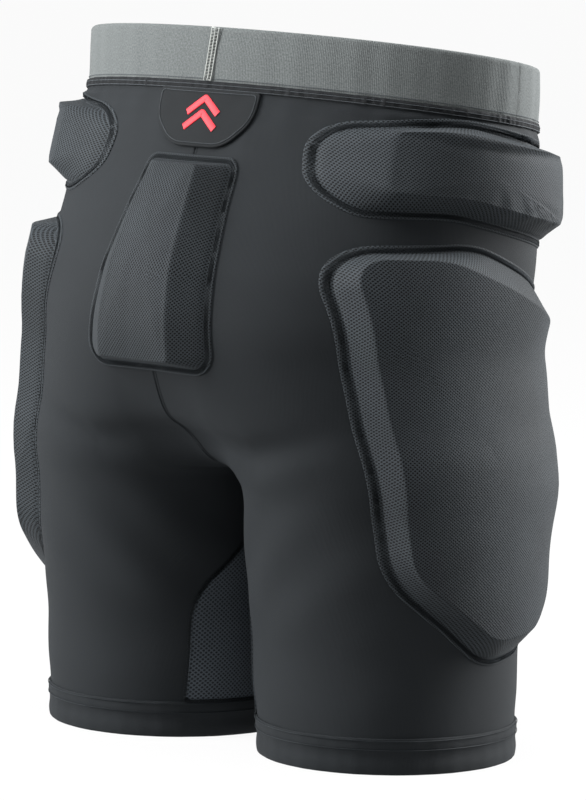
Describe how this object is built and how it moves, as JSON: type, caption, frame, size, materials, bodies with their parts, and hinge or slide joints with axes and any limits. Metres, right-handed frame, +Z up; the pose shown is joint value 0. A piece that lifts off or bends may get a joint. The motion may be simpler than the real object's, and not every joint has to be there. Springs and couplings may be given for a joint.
{
  "type": "padded impact shorts",
  "caption": "Close-fitting padded shorts for snow sports: elastic waistband, stretch body, foam pads on hips, thighs and tailbone, legs that swing at the hip",
  "frame": {"origin": "centre of the bounding box at the level of the two hems, which stand at Z = 0", "axes": "+Z up, +Y towards the wearer's back, +X towards the wearer's left"},
  "size_m": [0.3574, 0.2551, 0.4299],
  "materials": {
    "waistband": "woven elastic",
    "join_thread": "overlock thread",
    "binding": "covered seam",
    "patch": "jersey",
    "emblem_print": "raised print",
    "label": "satin tape",
    "thread": "sewing thread",
    "pad_mesh": "knitted spacer mesh",
    "foam": "closed-cell foam",
    "jersey": "stretch jersey",
    "gusset_knit": "ribbed mesh knit"
  },
  "bodies": {
    "pelvis": {"waistband": "waistband", "waistband_join_stitch": "join_thread", "waist_seam_binding": "binding", "back_patch": "patch", "patch_emblem": "emblem_print", "care_label": "label", "centre_back_seam": "thread", "centre_front_seam": "thread", "tail_pad_border": "pad_mesh", "tail_pad_foam": "foam", "tail_pad_cover": "pad_mesh", "left_back_panel": "jersey", "left_front_panel": "jersey", "left_hip_stretch_zone": "jersey", "left_hip_pad_border": "pad_mesh", "left_hip_pad_foam": "foam", "left_hip_pad_cover": "pad_mesh", "right_back_panel": "jersey", "right_front_panel": "jersey", "right_hip_stretch_zone": "jersey", "right_hip_pad_border": "pad_mesh", "right_hip_pad_foam": "foam", "right_hip_pad_cover": "pad_mesh"},
    "left_leg": {"left_inner_leg_gusset": "gusset_knit", "left_leg_back_panel": "jersey", "left_leg_front_panel": "jersey", "left_hem_band": "jersey", "left_hem_stitching": "thread", "left_thigh_pad_border": "pad_mesh", "left_thigh_pad_foam": "foam", "left_thigh_pad_cover": "pad_mesh"},
    "right_leg": {"right_inner_leg_gusset": "gusset_knit", "right_leg_back_panel": "jersey", "right_leg_front_panel": "jersey", "right_hem_band": "jersey", "right_hem_stitching": "thread", "right_thigh_pad_border": "pad_mesh", "right_thigh_pad_foam": "foam", "right_thigh_pad_cover": "pad_mesh"}
  },
  "joints": [
    {"name": "left_hip_flex", "type": "hinge", "parent": "pelvis", "child": "left_leg", "pos_m": [0.085, -0.0191, 0.27], "axis": [-1, 0, 0], "range_deg": [-3, 35], "deforming": ["left_hip_stretch_zone", "left_inner_leg_gusset"]},
    {"name": "right_hip_flex", "type": "hinge", "parent": "pelvis", "child": "right_leg", "pos_m": [-0.085, -0.0191, 0.27], "axis": [-1, 0, 0], "range_deg": [-3, 35], "deforming": ["right_hip_stretch_zone", "right_inner_leg_gusset"]}
  ]
}
